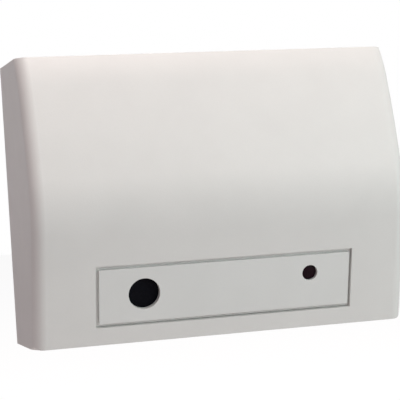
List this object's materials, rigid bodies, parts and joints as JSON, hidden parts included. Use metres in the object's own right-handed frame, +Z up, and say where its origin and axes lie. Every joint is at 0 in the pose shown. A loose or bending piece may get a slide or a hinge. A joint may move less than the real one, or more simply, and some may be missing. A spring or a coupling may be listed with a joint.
{
  "type": "acoustic glass break sensor",
  "caption": "Wall-mounted box with a curved hook-on cover, a sunken sensor panel with microphone and indicator holes, and a battery-powered board on a flat base.",
  "frame": {"origin": "centre of the back face, in the plane of the wall", "axes": "+X to the right as seen from the front, +Y into the wall, +Z up"},
  "size_m": [0.108, 0.0356, 0.0784],
  "materials": {
    "cover_plastic": "fine satin moulding, warm white",
    "panel_plastic": "fine satin moulding, white",
    "base_plastic": "moulded, warm white",
    "white_plastic": "moulded",
    "black_plastic": "moulded",
    "red_plastic": "moulded",
    "black_felt": "felt",
    "dark_lens": "dark red tinted clear plastic",
    "lamp_epoxy": "red tinted epoxy",
    "green_board": "solder mask",
    "battery_sleeve": "printless plastic sleeve over a metal can",
    "contact_strip": "nickel-plated spring strip",
    "zinc_steel": "zinc plated",
    "tinned_sheet": "tinned",
    "capsule_can": "bare can",
    "black_rubber": "soft moulded rubber",
    "ceramic_parts": "fired ceramic chips"
  },
  "bodies": {
    "base": {"rear_base": "base_plastic", "circuit_board": "green_board", "board_screws": "zinc_steel", "battery": "battery_sleeve", "battery_contact_positive": "contact_strip", "battery_contact_negative": "contact_strip", "microphone_boot": "black_rubber", "microphone_capsule": "capsule_can", "indicator_lamp": "lamp_epoxy", "lamp_spacer": "black_plastic", "tamper_switch_body": "black_plastic", "setting_switch_body": "red_plastic", "radio_shield": "tinned_sheet", "processor_chip": "black_plastic", "processor_leads": "tinned_sheet", "amplifier_chip": "black_plastic", "amplifier_leads": "tinned_sheet", "crystal": "tinned_sheet", "buffer_capacitor_1": "capsule_can", "buffer_capacitor_2": "capsule_can", "chip_parts": "ceramic_parts", "antenna_strip": "tinned_sheet"},
    "cover": {"front_cover": "cover_plastic", "sensor_panel": "panel_plastic", "acoustic_felt": "black_felt", "indicator_lens": "dark_lens"},
    "plunger": {"tamper_plunger": "white_plastic"},
    "slider_1": {"setting_slider_1": "white_plastic"},
    "slider_2": {"setting_slider_2": "white_plastic"}
  },
  "joints": [
    {"name": "cover_hinge", "type": "hinge", "parent": "base", "child": "cover", "pos_m": [0, -0.0005, 0.0387], "axis": [-1, 0, 0], "range_deg": [0, 30]},
    {"name": "plunger_slide", "type": "slide", "parent": "base", "child": "plunger", "axis": [0, -1, 0], "range_m": [0, 0.002]},
    {"name": "slider_1_slide", "type": "slide", "parent": "base", "child": "slider_1", "axis": [0, 0, 1], "range_m": [0, 0.00115]},
    {"name": "slider_2_slide", "type": "slide", "parent": "base", "child": "slider_2", "axis": [0, 0, -1], "range_m": [0, 0.00115]}
  ],
  "couplings": [
    {"joint": "plunger_slide", "follows": "cover_hinge", "m_per_rad": 0.003819}
  ]
}
